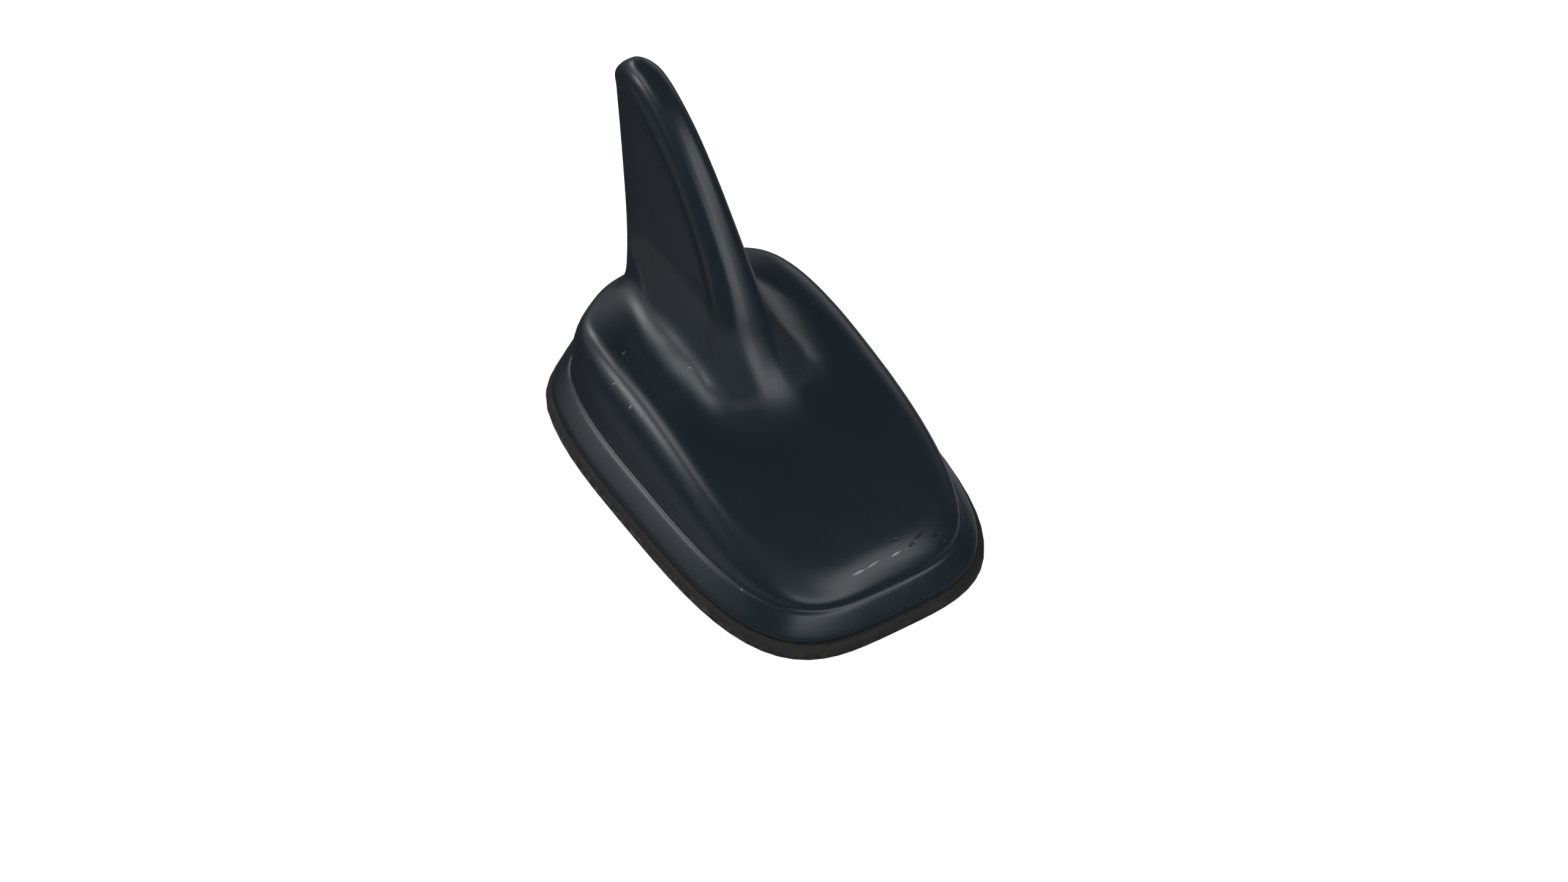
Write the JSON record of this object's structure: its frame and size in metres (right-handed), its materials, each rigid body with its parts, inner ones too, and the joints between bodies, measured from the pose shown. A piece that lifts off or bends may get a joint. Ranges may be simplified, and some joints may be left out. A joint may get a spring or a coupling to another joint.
{
  "type": "roof antenna",
  "caption": "Fin-shaped car roof antenna: low domed cover with a hollow fin over a cast base, on a rubber roof gasket, with a hollow fixing stud.",
  "frame": {"origin": "on the roof plane under the gasket, on the axis of the fixing stud", "axes": "+Z away from the roof, +Y toward the tail of the fin (the nose points to -Y), +X across the part, which is the same on both sides of X = 0"},
  "size_m": [0.0682, 0.112, 0.0974],
  "materials": {
    "cover_plastic": "satin, fine grain",
    "gasket_rubber": "matte",
    "zinc_casting": "as cast",
    "seal_silicone": "matte",
    "screw_steel": "zinc plated",
    "board_laminate": "solder resist",
    "holder_plastic": "moulded",
    "pad_foam": "foam",
    "tinned_brass": "tinned",
    "patch_ceramic": "fired ceramic",
    "tape_foam": "adhesive foam tape",
    "tinned_steel": "tinned",
    "chip_plastic": "moulded"
  },
  "bodies": {
    "root": {"cover": "cover_plastic", "roof_gasket": "gasket_rubber", "base_casting": "zinc_casting", "cover_seal": "seal_silicone", "cover_screws": "screw_steel", "main_board": "board_laminate", "board_screws": "screw_steel", "fin_board": "board_laminate", "fin_holder": "holder_plastic", "fin_pads": "pad_foam", "solder_tabs": "tinned_brass", "gps_patch": "patch_ceramic", "patch_tape": "tape_foam", "patch_pin": "tinned_brass", "shield_can": "tinned_steel", "lna_chip": "chip_plastic", "saw_filter": "tinned_steel", "lead_sockets": "tinned_brass", "chip_parts": "chip_plastic"}
  },
  "joints": []
}
